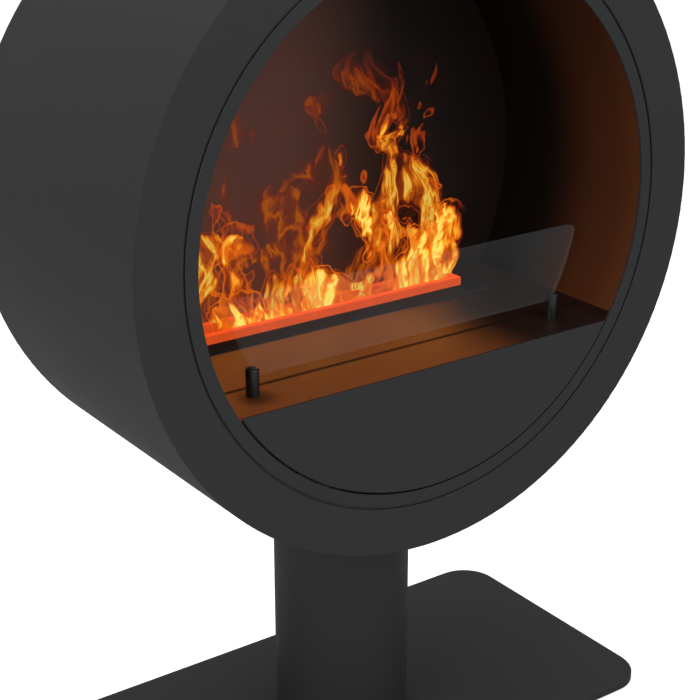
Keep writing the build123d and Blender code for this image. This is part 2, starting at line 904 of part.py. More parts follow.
with BuildPart() as back_panel:
    with BuildSketch(across(back_panel_back)):
        Circle(shell_inside - fit_gap)
        with back_screw_places():
            Circle(small_screw_radius + fit_gap, mode=Mode.SUBTRACT)
        for z in (-vent_drop, vent_drop):
            with Locations((0, z)):
                with GridLocations(vent_length * 1.2, vent_pitch, 3, vent_rows):
                    SlotOverall(vent_length, vent_width, mode=Mode.SUBTRACT)
        with Locations((inlet_x, -inlet_drop)):
            Rectangle(
                inlet_body_width + 2 * fit_gap,
                inlet_body_height + 2 * fit_gap,
                mode=Mode.SUBTRACT,
            )
        with Locations((switch_x, -inlet_drop)):
            Rectangle(
                switch_width - 2 * switch_frame + 2 * fit_gap,
                switch_height - 2 * switch_frame + 2 * fit_gap,
                mode=Mode.SUBTRACT,
            )
    extrude(amount=back_panel_thickness)
save(back_panel.part, "back_panel")

with BuildPart() as back_screws:
    with BuildSketch(across(back_panel_back)):
        with back_screw_places():
            Circle(small_screw_radius)
    extrude(amount=back_panel_thickness + back_flange_thickness + 2)
    with BuildSketch(across(back_panel_back + small_screw_head_height)):
        with back_screw_places():
            Circle(small_screw_head)
    extrude(amount=small_screw_head_height)
save(back_screws.part, "back_screws")

inlet_centre = (inlet_x, -inlet_drop)
pin_width = 2
pin_height = 4
with BuildPart() as mains_inlet:
    with BuildSketch(across(back_panel_back + inlet_flange)):
        with Locations(inlet_centre):
            RectangleRounded(inlet_width, inlet_height, 3)
    extrude(amount=inlet_flange)
    with BuildSketch(across(back_panel_back)):
        with Locations(inlet_centre):
            Rectangle(inlet_body_width, inlet_body_height)
    extrude(amount=inlet_body_depth)
    with BuildSketch(across(back_panel_back + inlet_flange)):
        with Locations(inlet_centre):
            Rectangle(inlet_body_width - 4, inlet_body_height - 4)
    extrude(amount=inlet_body_depth - 4, mode=Mode.SUBTRACT)
    with BuildSketch(across(back_panel_back)):
        with Locations(inlet_centre):
            with Locations((-7, -2), (0, 2), (7, -2)):
                Rectangle(pin_width, pin_height)
    extrude(amount=inlet_body_depth - 2)
save(mains_inlet.part, "mains_inlet")

switch_centre = (switch_x, -inlet_drop)
switch_body_width = switch_width - 2 * switch_frame
switch_body_height = switch_height - 2 * switch_frame
switch_body_depth = 16
with BuildPart() as switch_housing:
    with BuildSketch(across(back_panel_back + 2)):
        with Locations(switch_centre):
            RectangleRounded(switch_width, switch_height, 2)
    extrude(amount=2)
    with BuildSketch(across(back_panel_back)):
        with Locations(switch_centre):
            Rectangle(switch_body_width, switch_body_height)
    extrude(amount=switch_body_depth)
    with BuildSketch(across(back_panel_back + 2)):
        with Locations(switch_centre):
            Rectangle(switch_body_width - 3, switch_body_height - 3)
    extrude(amount=switch_body_depth, mode=Mode.SUBTRACT)
save(switch_housing.part, "switch_housing")

rocker_length = switch_body_width - 3 - 2 * rocker_clearance
rocker_width = switch_body_height - 3 - 2 * rocker_clearance
rocker_depth = 6
with BuildPart() as rocker_switch:
    with BuildSketch(Plane.XY.offset(-rocker_width / 2)):
        with BuildLine():
            Polyline(
                (-rocker_length / 2 + 1, 0),
                (-rocker_length / 2 + 0.4, rocker_depth - 2),
                (0, rocker_depth - 3.5),
                (rocker_length / 2 - 0.4, rocker_depth - 2),
                (rocker_length / 2 - 1, 0),
                (0, -3),
                close=True,
            )
        make_face()
    extrude(amount=rocker_width)
rocker_at = Location((switch_x, back_panel_back, drum_centre - inlet_drop), (0, 0, rocker_tilt))
save(rocker_switch.part.moved(rocker_at), "rocker_switch")
print("drum centre", drum_centre, "floor", floor, "rocker about", rocker_at.position)
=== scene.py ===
import bmesh
import bpy
import math
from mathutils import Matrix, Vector


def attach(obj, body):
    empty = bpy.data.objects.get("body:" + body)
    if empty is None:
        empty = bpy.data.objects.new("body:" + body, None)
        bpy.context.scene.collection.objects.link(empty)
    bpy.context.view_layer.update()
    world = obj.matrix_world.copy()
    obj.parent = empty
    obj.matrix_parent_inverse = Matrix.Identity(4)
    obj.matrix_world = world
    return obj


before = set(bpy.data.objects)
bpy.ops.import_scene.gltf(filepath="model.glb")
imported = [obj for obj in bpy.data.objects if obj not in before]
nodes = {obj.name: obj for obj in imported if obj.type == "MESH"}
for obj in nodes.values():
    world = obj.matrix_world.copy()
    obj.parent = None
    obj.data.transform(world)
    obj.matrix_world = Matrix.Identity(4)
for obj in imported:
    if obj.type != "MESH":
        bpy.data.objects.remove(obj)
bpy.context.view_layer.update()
scene = bpy.context.scene


# Drum shell, front ring, trim ring, lower cover, post tube and base plate are rolled and laser
# cut sheet steel under one charcoal powder coat. The coat has a very fine grain and a soft sheen.
def new_material(name):
    material = bpy.data.materials.new(name)
    material.use_nodes = True
    tree = material.node_tree
    tree.nodes.clear()
    return material, tree


def shader_node(tree, kind, inputs=None, **settings):
    node = tree.nodes.new(kind)
    for key, value in settings.items():
        setattr(node, key, value)
    for key, value in (inputs or {}).items():
        node.inputs[key].default_value = value
    return node


def link(tree, source, source_socket, target, target_socket):
    tree.links.new(source.outputs[source_socket], target.inputs[target_socket])


def noise_on_object(tree, scale, detail=3.0, stretch=(1, 1, 1)):
    place = shader_node(tree, "ShaderNodeTexCoord")
    mapping = shader_node(tree, "ShaderNodeMapping", {"Scale": stretch})
    noise = shader_node(tree, "ShaderNodeTexNoise", {"Scale": scale, "Detail": detail})
    link(tree, place, "Object", mapping, "Vector")
    link(tree, mapping, "Vector", noise, "Vector")
    return noise


def colour_ramp(tree, source, socket, *stops):
    ramp = shader_node(tree, "ShaderNodeValToRGB")
    elements = ramp.color_ramp.elements
    while len(elements) < len(stops):
        elements.new(0.5)
    for element, (position, colour) in zip(elements, stops):
        element.position = position
        element.color = (*colour, 1)
    link(tree, source, socket, ramp, "Fac")
    return ramp


def coated_metal(name, dark, light, roughness, grain=1400.0, relief=0.08, specular=0.5):
    material, tree = new_material(name)
    clouding = noise_on_object(tree, 5.0, 4.0)
    colour = colour_ramp(tree, clouding, "Fac", (0.35, dark), (0.65, light))
    grains = noise_on_object(tree, grain, 2.0)
    bump = shader_node(tree, "ShaderNodeBump", {"Strength": relief, "Distance": 0.0003})
    sheen = shader_node(
        tree,
        "ShaderNodeMapRange",
        {"From Min": 0.3, "From Max": 0.7, "To Min": roughness - 0.04, "To Max": roughness + 0.04},
    )
    surface = shader_node(tree, "ShaderNodeBsdfPrincipled", {"Specular IOR Level": specular})
    output = shader_node(tree, "ShaderNodeOutputMaterial")
    link(tree, grains, "Fac", bump, "Height")
    link(tree, clouding, "Fac", sheen, "Value")
    link(tree, colour, "Color", surface, "Base Color")
    link(tree, sheen, "Result", surface, "Roughness")
    link(tree, bump, "Normal", surface, "Normal")
    link(tree, surface, "BSDF", output, "Surface")
    return material


def dress(material, *names):
    for name in names:
        mesh = nodes[name].data
        mesh.materials.clear()
        mesh.materials.append(material)


charcoal = coated_metal(
    "charcoal_coat", (0.0145, 0.0145, 0.0148), (0.0165, 0.0165, 0.0168), 0.6, specular=0.3
)
dress(charcoal, "drum_shell", "front_ring", "fascia_cover", "post_tube", "base_plate")
trim_coat = coated_metal(
    "trim_coat", (0.0130, 0.0137, 0.0147), (0.0150, 0.0157, 0.0168), 0.58, specular=0.3
)
dress(trim_coat, "trim_ring")


# Base pads, bolts and the welded discs in the post: moulded rubber feet under the plate, and
# blackened or zinc plated steel for what holds the post to the plate and to the drum.
def plain_metal(name, dark, light, roughness, stretch=(1, 1, 1), scale=60.0):
    material, tree = new_material(name)
    grains = noise_on_object(tree, scale, 5.0, stretch)
    colour = colour_ramp(tree, grains, "Fac", (0.3, dark), (0.7, light))
    bump = shader_node(tree, "ShaderNodeBump", {"Strength": 0.1, "Distance": 0.0002})
    surface = shader_node(
        tree, "ShaderNodeBsdfPrincipled", {"Metallic": 1.0, "Roughness": roughness}
    )
    output = shader_node(tree, "ShaderNodeOutputMaterial")
    link(tree, grains, "Fac", bump, "Height")
    link(tree, colour, "Color", surface, "Base Color")
    link(tree, bump, "Normal", surface, "Normal")
    link(tree, surface, "BSDF", output, "Surface")
    return material


zinc = plain_metal("zinc_plate", (0.42, 0.43, 0.44), (0.55, 0.56, 0.58), 0.38)
dress(
    zinc,
    "post_foot",
    "post_head",
    "saddle_block",
    "lower_shelf",
    "shelf_ribs",
    "liner_standoffs",
    "back_flange",
    "insert_housing",
)
black_screws = plain_metal("black_screws", (0.05, 0.05, 0.052), (0.08, 0.08, 0.085), 0.35)
dress(
    black_screws,
    "base_bolts",
    "saddle_bolts",
    "holder_screws",
    "insert_screws",
    "back_screws",
)
nickel = plain_metal("magnet_nickel", (0.55, 0.55, 0.54), (0.65, 0.65, 0.64), 0.2)
dress(nickel, "fascia_magnets")
pad_rubber = coated_metal("pad_rubber", (0.014, 0.014, 0.014), (0.02, 0.02, 0.02), 0.85)
dress(pad_rubber, "base_pads")
matt_black = coated_metal("matt_black_coat", (0.016, 0.016, 0.017), (0.021, 0.021, 0.022), 0.7)
dress(matt_black, "back_panel", "ring_carrier", "fascia_catches")


# Firebox liner, back and deck: thin steel under satin heat-stable paint. The mist's light, from
# the strips in the insert, is painted on the near side of the box and its floor as a warm brown glow.
def lit_metal(name, base, roughness, axis, stops, depth_axis, depth_stops, shade=()):
    """Dark satin metal with warm light painted on as glow, which fades along one axis and changes along
    another.
    Shade holds the places and reach of soft painted shadows, such as those under the glass holders."""
    material, tree = new_material(name)
    place = shader_node(tree, "ShaderNodeTexCoord")
    parts = shader_node(tree, "ShaderNodeSeparateXYZ")
    link(tree, place, "Object", parts, "Vector")
    fades = []
    for along, course in ((axis, stops), (depth_axis, depth_stops)):
        spots = [spot for spot, colour in course]
        span = shader_node(
            tree, "ShaderNodeMapRange", {"From Min": min(spots), "From Max": max(spots)}
        )
        link(tree, parts, along, span, "Value")
        reach = max(spots) - min(spots)
        scaled = sorted(((spot - min(spots)) / reach, colour) for spot, colour in course)
        ramp = colour_ramp(tree, span, "Result", *scaled)
        ramp.color_ramp.interpolation = "EASE"
        fades.append(ramp)
    light = shader_node(tree, "ShaderNodeMix", data_type="RGBA", blend_type="MULTIPLY")
    light.inputs[0].default_value = 1.0
    tree.links.new(fades[0].outputs["Color"], light.inputs[6])
    tree.links.new(fades[1].outputs["Color"], light.inputs[7])
    clouding = noise_on_object(tree, 14.0, 4.0)
    uneven = shader_node(tree, "ShaderNodeMapRange", {"To Min": 0.92, "To Max": 1.08})
    link(tree, clouding, "Fac", uneven, "Value")
    strength = uneven.outputs["Result"]
    for spot, reach in shade:
        apart = shader_node(tree, "ShaderNodeVectorMath", operation="DISTANCE")
        apart.inputs[1].default_value = spot
        link(tree, place, "Object", apart, 0)
        dark = shader_node(
            tree,
            "ShaderNodeMapRange",
            {"From Min": 0.006, "From Max": reach, "To Min": 0.25, "To Max": 1.0},
            interpolation_type="SMOOTHSTEP",
        )
        link(tree, apart, "Value", dark, "Value")
        both = shader_node(tree, "ShaderNodeMath", operation="MULTIPLY")
        tree.links.new(strength, both.inputs[0])
        link(tree, dark, "Result", both, 1)
        strength = both.outputs["Value"]
    grains = noise_on_object(tree, 1400.0, 2.0)
    bump = shader_node(tree, "ShaderNodeBump", {"Strength": 0.06, "Distance": 0.0003})
    surface = shader_node(
        tree,
        "ShaderNodeBsdfPrincipled",
        {"Base Color": (*base, 1), "Roughness": roughness, "Specular IOR Level": 0.18},
    )
    output = shader_node(tree, "ShaderNodeOutputMaterial")
    tree.links.new(light.outputs[2], surface.inputs["Emission Color"])
    tree.links.new(strength, surface.inputs["Emission Strength"])
    link(tree, grains, "Fac", bump, "Height")
    link(tree, bump, "Normal", surface, "Normal")
    link(tree, surface, "BSDF", output, "Surface")
    return material


floor_z = 0.5805
seam_front = -0.127
seam_back = -0.123
seam_shade = 0.0035
holder_x = 0.227
holder_y = -0.156
holder_shade = 0.034
# Painted light: the ledge and deck glow warm brown in front of the flames, and the glow fades to painted
# shade towards the right.
deck_metal = lit_metal(
    "deck_metal",
    base=(0.012, 0.007, 0.005),
    roughness=0.45,
    axis="X",
    stops=((-0.3, (0.13, 0.034, 0.007)), (0.04, (0.145, 0.038, 0.008)), (0.17, (0.004, 0.001, 0.001))),
    depth_axis="Y",
    depth_stops=(
        (-0.2, (0.85, 0.8, 0.75)),
        # Painted shade: the glow drops to a fifth in a thin band each side of the seam between ledge and
        # deck.
        (seam_front - seam_shade, (0.9, 0.93, 0.95)),
        (seam_front - 0.0002, (0.2, 0.2, 0.2)),
        (seam_back + 0.0002, (0.2, 0.2, 0.2)),
        (seam_back + seam_shade, (0.9, 0.95, 1.0)),
        (0.0, (1.0, 1.0, 1.0)),
    ),
    # Painted shadows: the glow is darkened in a soft round spot on the deck round the foot of each glass
    # holder.
    shade=(
        ((-holder_x, holder_y, floor_z), holder_shade),
        ((holder_x, holder_y, floor_z), holder_shade),
    ),
)
dress(deck_metal, "front_ledge", "rear_deck")
# Painted light: the liner glows warm brown near the front and above the deck; painted shade darkens it
# towards the back, below the deck and near the top.
liner_metal = lit_metal(
    "liner_metal",
    base=(0.006, 0.0035, 0.0025),
    roughness=0.5,
    axis="Y",
    stops=((-0.2, (0.062, 0.0155, 0.004)), (-0.12, (0.034, 0.008, 0.002)), (0.0, (0.0, 0.0, 0.0))),
    depth_axis="Z",
    depth_stops=(
        (0.48, (0.02, 0.02, 0.02)),
        (0.574, (0.02, 0.02, 0.02)),
        (0.582, (1.0, 1.0, 1.0)),
        (0.75, (0.8, 0.8, 0.8)),
        (1.1, (0.12, 0.1, 0.1)),
    ),
)
dress(liner_metal, "firebox_liner")
# Painted light: the back of the box glows warm brown on its left and lower part, fading to painted shade
# towards the right and the top.
back_metal = lit_metal(
    "back_metal",
    base=(0.006, 0.005, 0.0045),
    roughness=0.6,
    axis="X",
    stops=((-0.34, (0.075, 0.032, 0.022)), (-0.05, (0.065, 0.022, 0.015)), (0.16, (0.002, 0.0006, 0.0004))),
    depth_axis="Z",
    depth_stops=((0.56, (1.1, 1.0, 0.9)), (0.85, (0.9, 0.9, 0.9)), (1.1, (0.3, 0.3, 0.3))),
)
dress(back_metal, "firebox_back")
dress(matt_black, "deck_rail_left", "deck_rail_right")

# Vapour insert: a black flange lies on the deck round the glowing lip, and the lip is a satin
# orange diffuser with light strips under it. Mist rises from the slot in the plate inside it.
insert_black = coated_metal(
    "insert_black", (0.009, 0.012, 0.0125), (0.012, 0.015, 0.0155), 0.75, specular=0.12
)
dress(insert_black, "insert_frame", "nozzle_plate")


def glowing_plastic(name, front, top, brightness):
    """Lit diffuser whose upward faces are brighter than its upright ones."""
    material, tree = new_material(name)
    facing = shader_node(tree, "ShaderNodeNewGeometry")
    parts = shader_node(tree, "ShaderNodeSeparateXYZ")
    link(tree, facing, "Normal", parts, "Vector")
    mottle = noise_on_object(tree, 60.0, 4.0)
    patches = shader_node(
        tree, "ShaderNodeMapRange", {"To Min": brightness * 0.8, "To Max": brightness * 1.2}
    )
    glow = colour_ramp(tree, parts, "Z", (0.25, front), (0.8, top))
    surface = shader_node(
        tree,
        "ShaderNodeBsdfPrincipled",
        {"Base Color": (0.25, 0.02, 0.004, 1), "Roughness": 0.4, "Specular IOR Level": 0.2},
    )
    output = shader_node(tree, "ShaderNodeOutputMaterial")
    link(tree, mottle, "Fac", patches, "Value")
    link(tree, glow, "Color", surface, "Emission Color")
    link(tree, patches, "Result", surface, "Emission Strength")
    link(tree, surface, "BSDF", output, "Surface")
    return material


lip_glow = glowing_plastic("lip_glow", (0.52, 0.062, 0.008), (0.9, 0.085, 0.014), 0.95)
dress(lip_glow, "glow_lip")


# Glass screen: one clear 6 mm pane with polished edges, standing in the slots of two round black
# holders that are screwed to the ledge from below.
glass, glass_tree = new_material("clear_pane")
# Painted reflection: a faint pale veil of uneven strength covers the pane and lightens what is seen through
# it.
reflection_noise = noise_on_object(glass_tree, 9.0, 4.0)
painted_reflection = shader_node(
    glass_tree,
    "ShaderNodeMapRange",
    {"From Min": 0.3, "From Max": 0.7, "To Min": 0.012, "To Max": 0.02},
)
facing = shader_node(glass_tree, "ShaderNodeNewGeometry")
facing_parts = shader_node(glass_tree, "ShaderNodeSeparateXYZ")
# Painted highlight: the edge faces are drawn more opaque, so the polished edges show as a pale line.
edge = shader_node(
    glass_tree,
    "ShaderNodeMapRange",
    {"From Min": 0.9, "From Max": 0.4, "To Min": 0.0, "To Max": 0.03},
)
side = shader_node(glass_tree, "ShaderNodeMath", operation="ABSOLUTE")
cover = shader_node(glass_tree, "ShaderNodeMath", operation="ADD")
pane_surface = shader_node(
    glass_tree,
    "ShaderNodeBsdfPrincipled",
    {"Base Color": (0.62, 0.66, 0.66, 1), "Roughness": 0.04, "Specular IOR Level": 0.5},
)
glass_output = shader_node(glass_tree, "ShaderNodeOutputMaterial")
link(glass_tree, reflection_noise, "Fac", painted_reflection, "Value")
link(glass_tree, facing, "Normal", facing_parts, "Vector")
link(glass_tree, facing_parts, "Y", side, 0)
link(glass_tree, side, "Value", edge, "Value")
link(glass_tree, painted_reflection, "Result", cover, 0)
link(glass_tree, edge, "Result", cover, 1)
link(glass_tree, cover, "Value", pane_surface, "Alpha")
link(glass_tree, pane_surface, "BSDF", glass_output, "Surface")
dress(glass, "glass_pane")
holder_black = coated_metal("holder_black", (0.006, 0.006, 0.006), (0.009, 0.009, 0.01), 0.28)
dress(holder_black, "glass_holder_left", "glass_holder_right")


# Pieces inside the drum: moulded black and milky plastic, a rubber hose, brass faced transducers,
# white light boards and a brushed case round the power supply.
def moulded_plastic(name, dark, light, roughness):
    material, tree = new_material(name)
    mottle = noise_on_object(tree, 40.0, 3.0)
    colour = colour_ramp(tree, mottle, "Fac", (0.3, dark), (0.7, light))
    grains = noise_on_object(tree, 2600.0, 1.0)
    bump = shader_node(tree, "ShaderNodeBump", {"Strength": 0.15, "Distance": 0.0002})
    surface = shader_node(tree, "ShaderNodeBsdfPrincipled", {"Roughness": roughness})
    output = shader_node(tree, "ShaderNodeOutputMaterial")
    link(tree, colour, "Color", surface, "Base Color")
    link(tree, grains, "Fac", bump, "Height")
    link(tree, bump, "Normal", surface, "Normal")
    link(tree, surface, "BSDF", output, "Surface")
    return material


black_plastic = moulded_plastic("black_plastic", (0.014, 0.014, 0.015), (0.02, 0.02, 0.021), 0.5)
dress(
    black_plastic,
    "sump_tray",
    "control_box",
    "drain_tap",
    "mains_inlet",
    "switch_housing",
    "filler_cap",
    "tank_lid",
    "fan_frame_left",
    "fan_frame_right",
    "fan_rotor_left",
    "fan_rotor_right",
)
key_plastic = moulded_plastic("key_plastic", (0.04, 0.04, 0.042), (0.05, 0.05, 0.052), 0.3)
dress(key_plastic, "standby_button", "rocker_switch")
milky_plastic = moulded_plastic("milky_plastic", (0.66, 0.7, 0.72), (0.74, 0.78, 0.8), 0.35)
dress(milky_plastic, "water_tank", "float_stem", "drain_lever", "led_strips")
float_red = moulded_plastic("float_red", (0.6, 0.08, 0.03), (0.7, 0.1, 0.04), 0.4)
dress(float_red, "tank_float")
hose_rubber = moulded_plastic("hose_rubber", (0.02, 0.02, 0.02), (0.03, 0.03, 0.03), 0.6)
dress(hose_rubber, "feed_hose")
brass = plain_metal("transducer_brass", (0.5, 0.34, 0.13), (0.62, 0.43, 0.18), 0.3)
dress(brass, "transducers")
brushed = plain_metal("brushed_case", (0.4, 0.4, 0.41), (0.55, 0.55, 0.56), 0.35, (1, 30, 30))
dress(brushed, "power_supply")


# Mist flames: fine water mist that rises from the slot and is lit orange from below. They have no
# solid. Each layer is a thin upright film in gentle folds, and its material draws the tongues.
# The layer at the back is the thin dark smoke over them.
slot_y = 0.036
drum_axis_z = 0.746
flame_reach = 0.258
flame_foot = floor_z + 0.001
flame_half = 0.24
flame_height = 0.36
flame_top = floor_z + flame_height
tallest_crest = 0.4
end_fade = (flame_half - 0.008, flame_half - 0.055)
top_fade = (flame_height - 0.002, flame_height - 0.06)


def flame_film(name, y, fold, turns, phase, thickness=0.0006):
    """An upright thin closed film, folded gently to and fro, that keeps inside the round liner."""
    steps = 96
    rows = 28
    outline = bmesh.new()
    grid = {}
    for face, side in ((0, -1), (1, 1)):
        for i in range(steps + 1):
            across = 2 * i / steps - 1
            for j in range(rows + 1):
                h = j / rows
                z = flame_foot + (flame_top - flame_foot) * h
                room = math.sqrt(flame_reach**2 - (z - drum_axis_z) ** 2)
                x = across * min(flame_half, room)
                bend = fold * math.sin(turns * math.pi * across + phase + 2.4 * h)
                lean = 0.012 * h * math.sin(phase + 5 * across)
                point = (x, y + bend * (0.35 + 0.65 * h) + lean + side * thickness / 2, z)
                grid[face, i, j] = outline.verts.new(point)
    for i in range(steps):
        for j in range(rows):
            near = [grid[0, i, j], grid[0, i + 1, j], grid[0, i + 1, j + 1], grid[0, i, j + 1]]
            far = [grid[1, i, j], grid[1, i, j + 1], grid[1, i + 1, j + 1], grid[1, i + 1, j]]
            outline.faces.new(near)
            outline.faces.new(far)
    for i in range(steps):
        for j, turned in ((0, False), (rows, True)):
            rim = [grid[0, i, j], grid[1, i, j], grid[1, i + 1, j], grid[0, i + 1, j]]
            outline.faces.new(rim[::-1] if turned else rim)
    for j in range(rows):
        for i, turned in ((0, True), (steps, False)):
            rim = [grid[0, i, j], grid[1, i, j], grid[1, i, j + 1], grid[0, i, j + 1]]
            outline.faces.new(rim[::-1] if turned else rim)
    bmesh.ops.recalc_face_normals(outline, faces=outline.faces)
    mesh = bpy.data.meshes.new(name)
    outline.to_mesh(mesh)
    outline.free()
    mesh.polygons.foreach_set("use_smooth", [True] * len(mesh.polygons))
    film = bpy.data.objects.new(name, mesh)
    scene.collection.objects.link(film)
    return film


def math_node(tree, operation, first, second=None, third=None, clamp=False):
    """A maths node whose inputs are numbers or other nodes' outputs."""
    node = tree.nodes.new("ShaderNodeMath")
    node.operation = operation
    node.use_clamp = clamp
    for socket, value in zip(node.inputs, (first, second, third)):
        if value is None:
            continue
        if isinstance(value, (int, float)):
            socket.default_value = value
        else:
            tree.links.new(value, socket)
    return node.outputs[0]


def smooth_between(tree, value, low, high):
    node = shader_node(tree, "ShaderNodeMapRange", interpolation_type="SMOOTHSTEP")
    for key, number in (("From Min", low), ("From Max", high)):
        if isinstance(number, (int, float)):
            node.inputs[key].default_value = number
        else:
            tree.links.new(number, node.inputs[key])
    tree.links.new(value, node.inputs["Value"])
    return node.outputs["Result"]


def warped(tree, vector, scale, amount):
    """The vector pushed about by a noise of that scale; amount is a number or an output."""
    noise = shader_node(tree, "ShaderNodeTexNoise", {"Scale": scale, "Detail": 1.5})
    tree.links.new(vector, noise.inputs["Vector"])
    centred = shader_node(tree, "ShaderNodeVectorMath", operation="SUBTRACT")
    centred.inputs[1].default_value = (0.5, 0.5, 0.5)
    link(tree, noise, "Color", centred, 0)
    scaled = shader_node(tree, "ShaderNodeVectorMath", operation="SCALE")
    link(tree, centred, "Vector", scaled, 0)
    if isinstance(amount, (int, float)):
        scaled.inputs["Scale"].default_value = amount
    else:
        tree.links.new(amount, scaled.inputs["Scale"])
    total = shader_node(tree, "ShaderNodeVectorMath", operation="ADD")
    tree.links.new(vector, total.inputs[0])
    link(tree, scaled, "Vector", total, 1)
    return total.outputs["Vector"]


def flame_material(name, seed, heights, fullness, thread, brightness, peak):
    """Tongues up to the given heights (position along the slot, height in metres). A low peak
    keeps them dark red, as smoke is."""
    material, tree = new_material(name)
    place = shader_node(tree, "ShaderNodeTexCoord")
    shift = shader_node(tree, "ShaderNodeMapping", {"Location": (0, seed * 0.37, 0)})
    link(tree, place, "Object", shift, "Vector")
    parts = shader_node(tree, "ShaderNodeSeparateXYZ")
    link(tree, place, "Object", parts, "Vector")
    # The place is stirred by two noises, so the tongues curl, and more so the higher they rise.
    rise = math_node(tree, "SUBTRACT", parts.outputs["Z"], flame_foot)
    sway = math_node(tree, "MULTIPLY_ADD", rise, 0.6, 0.03)
    swirled = warped(tree, shift.outputs["Vector"], 7.0, sway)
    swirled = warped(tree, swirled, 19.0, 0.034)
    bent = shader_node(tree, "ShaderNodeSeparateXYZ")
    tree.links.new(swirled, bent.inputs["Vector"])

    # The crest's height along the slot, and each point's share of it.
    along = math_node(tree, "MULTIPLY_ADD", bent.outputs["X"], 1 / (2 * flame_half), 0.5)
    envelope = shader_node(tree, "ShaderNodeFloatCurve")
    curve = envelope.mapping.curves[0]
    for spot, height in heights:
        curve.points.new(spot, height / tallest_crest)
    curve.points.remove(curve.points[0])
    curve.points.remove(curve.points[len(curve.points) - 1])
    envelope.mapping.update()
    tree.links.new(along, envelope.inputs["Value"])
    crest = math_node(tree, "MULTIPLY", envelope.outputs["Value"], tallest_crest)
    level = math_node(tree, "DIVIDE", rise, math_node(tree, "MAXIMUM", crest, 0.004))

    # The body of the fire is a noise drawn out upwards, with bright threads in it.
    drawn = shader_node(tree, "ShaderNodeMapping", {"Scale": (1.0, 1.0, 0.28)})
    tree.links.new(swirled, drawn.inputs["Vector"])
    body = shader_node(tree, "ShaderNodeTexNoise", {"Scale": 15.0, "Detail": 3.0})
    link(tree, drawn, "Vector", body, "Vector")
    threads = shader_node(
        tree,
        "ShaderNodeTexNoise",
        {"Scale": thread, "Detail": 5.0, "Roughness": 0.55, "Lacunarity": 2.1},
    )
    finer = warped(tree, drawn.outputs["Vector"], 24.0, 0.02)
    tree.links.new(finer, threads.inputs["Vector"])
    folded = math_node(tree, "MULTIPLY_ADD", threads.outputs["Fac"], 2.0, -1.0)
    folded = math_node(tree, "ABSOLUTE", folded)
    ridge = math_node(tree, "SUBTRACT", 1.0, math_node(tree, "MULTIPLY", folded, 3.2), clamp=True)
    ridge = math_node(tree, "POWER", ridge, 3.0)

    # Less and less of the body is left towards the crest and in the dark gaps.
    gaps = shader_node(tree, "ShaderNodeTexNoise", {"Scale": 12.0, "Detail": 2.0})
    tree.links.new(swirled, gaps.inputs["Vector"])
    open_air = smooth_between(tree, gaps.outputs["Fac"], 0.60, 0.40)
    ceiling = math_node(tree, "MULTIPLY_ADD", level, 0.42, 0.70 - fullness)
    ceiling = math_node(tree, "MULTIPLY_ADD", math_node(tree, "SUBTRACT", 1.0, open_air), 0.3, ceiling)
    tongue = smooth_between(tree, body.outputs["Fac"], ceiling, math_node(tree, "ADD", ceiling, 0.16))
    rim_start = math_node(tree, "SUBTRACT", ceiling, 0.015)
    edge_low = smooth_between(tree, body.outputs["Fac"], rim_start, ceiling)
    rim_middle = math_node(tree, "ADD", ceiling, 0.01)
    rim_end = math_node(tree, "ADD", ceiling, 0.045)
    edge_high = smooth_between(tree, body.outputs["Fac"], rim_middle, rim_end)
    rim = math_node(tree, "MULTIPLY", edge_low, math_node(tree, "SUBTRACT", 1.0, edge_high))
    # Heat is made of threads, body and a thin bright rim, and cools upwards and at the ends.
    low_heat = math_node(tree, "SUBTRACT", 1.15, math_node(tree, "MULTIPLY", level, 0.55), clamp=True)
    strands = math_node(tree, "MULTIPLY", ridge, math_node(tree, "MULTIPLY_ADD", tongue, 0.9, 0.08))
    heat = math_node(tree, "MULTIPLY_ADD", strands, 0.85, math_node(tree, "MULTIPLY", tongue, 0.34))
    heat = math_node(tree, "MULTIPLY_ADD", rim, 0.35, heat)
    heat = math_node(tree, "MULTIPLY", heat, low_heat)
    ends = smooth_between(tree, math_node(tree, "ABSOLUTE", bent.outputs["X"]), *end_fade)
    top = smooth_between(tree, rise, *top_fade)
    heat = math_node(tree, "MULTIPLY", heat, math_node(tree, "MULTIPLY", ends, top))
    heat = math_node(tree, "MULTIPLY", heat, peak)

    colour = colour_ramp(
        tree,
        heat.node,
        0,
        (0.0, (0.10, 0.008, 0.002)),
        (0.22, (0.55, 0.05, 0.004)),
        (0.45, (0.95, 0.20, 0.008)),
        (0.68, (1.0, 0.45, 0.03)),
        (0.9, (1.0, 0.75, 0.14)),
    )
    cover = smooth_between(tree, heat, 0.02, 0.75)
    cover = math_node(tree, "MULTIPLY", cover, 0.85)
    surface = shader_node(
        tree,
        "ShaderNodeBsdfPrincipled",
        {
            "Base Color": (0.0, 0.0, 0.0, 1),
            "Roughness": 1.0,
            "Specular IOR Level": 0.0,
            "Emission Strength": brightness,
        },
    )
    output = shader_node(tree, "ShaderNodeOutputMaterial")
    link(tree, colour, "Color", surface, "Emission Color")
    tree.links.new(cover, surface.inputs["Alpha"])
    link(tree, surface, "BSDF", output, "Surface")
    return material


